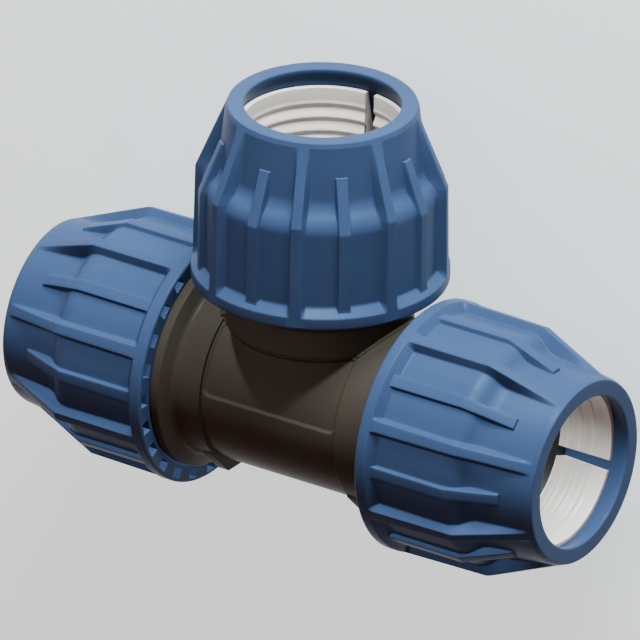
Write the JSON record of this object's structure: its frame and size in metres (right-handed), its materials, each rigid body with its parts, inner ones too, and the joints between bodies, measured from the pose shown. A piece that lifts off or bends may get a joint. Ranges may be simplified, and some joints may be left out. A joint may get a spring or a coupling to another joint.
{
  "type": "pipe tee",
  "caption": "Equal compression tee for plastic pressure pipe: a moulded body with a push-in socket under a ribbed screw nut on each arm.",
  "frame": {"origin": "centre of the bounding box, in the plane of the three arms. The axes of the run and of the branch cross at (0, -0.0384, 0).", "axes": "+X along the run to the right arm, +Y out of the branch, +Z normal to the plane of the three arms, out of the side with the marking pad. The tee lies on that plane's other side."},
  "size_m": [0.259, 0.1822, 0.1054],
  "materials": {
    "body": "black polypropylene, slightly glossy moulding",
    "nut": "mid blue polypropylene, satin moulding",
    "split_ring": "off-white acetal, satin",
    "thrust_ring": "black polypropylene",
    "seal": "black nitrile rubber"
  },
  "bodies": {
    "tee_body": {"body": "body", "thrust_ring_left": "thrust_ring", "thrust_ring_right": "thrust_ring", "thrust_ring_branch": "thrust_ring", "o_ring_left": "seal", "o_ring_right": "seal", "o_ring_branch": "seal"},
    "grip_left": {"split_ring_left": "split_ring"},
    "cap_left": {"nut_left": "nut"},
    "grip_right": {"split_ring_right": "split_ring"},
    "cap_right": {"nut_right": "nut"},
    "grip_branch": {"split_ring_branch": "split_ring"},
    "cap_branch": {"nut_branch": "nut"}
  },
  "joints": [
    {"name": "nut_left_travel", "type": "slide", "parent": "tee_body", "child": "grip_left", "axis": [-1, 0, 0], "range_m": [0, 0.018]},
    {"name": "nut_left_turn", "type": "hinge", "parent": "grip_left", "child": "cap_left", "pos_m": [0, -0.0384, 0], "axis": [-1, 0, 0], "range_deg": [0, 1080]},
    {"name": "nut_right_travel", "type": "slide", "parent": "tee_body", "child": "grip_right", "axis": [1, 0, 0], "range_m": [0, 0.018]},
    {"name": "nut_right_turn", "type": "hinge", "parent": "grip_right", "child": "cap_right", "pos_m": [0, -0.0384, 0], "axis": [1, 0, 0], "range_deg": [0, 1080]},
    {"name": "nut_branch_travel", "type": "slide", "parent": "tee_body", "child": "grip_branch", "axis": [0, 1, 0], "range_m": [0, 0.018]},
    {"name": "nut_branch_turn", "type": "hinge", "parent": "grip_branch", "child": "cap_branch", "pos_m": [0, -0.0384, 0], "axis": [0, 1, 0], "range_deg": [0, 1080]}
  ],
  "couplings": [
    {"joint": "nut_left_travel", "follows": "nut_left_turn", "m_per_rad": 0.00095493},
    {"joint": "nut_right_travel", "follows": "nut_right_turn", "m_per_rad": 0.00095493},
    {"joint": "nut_branch_travel", "follows": "nut_branch_turn", "m_per_rad": 0.00095493}
  ]
}
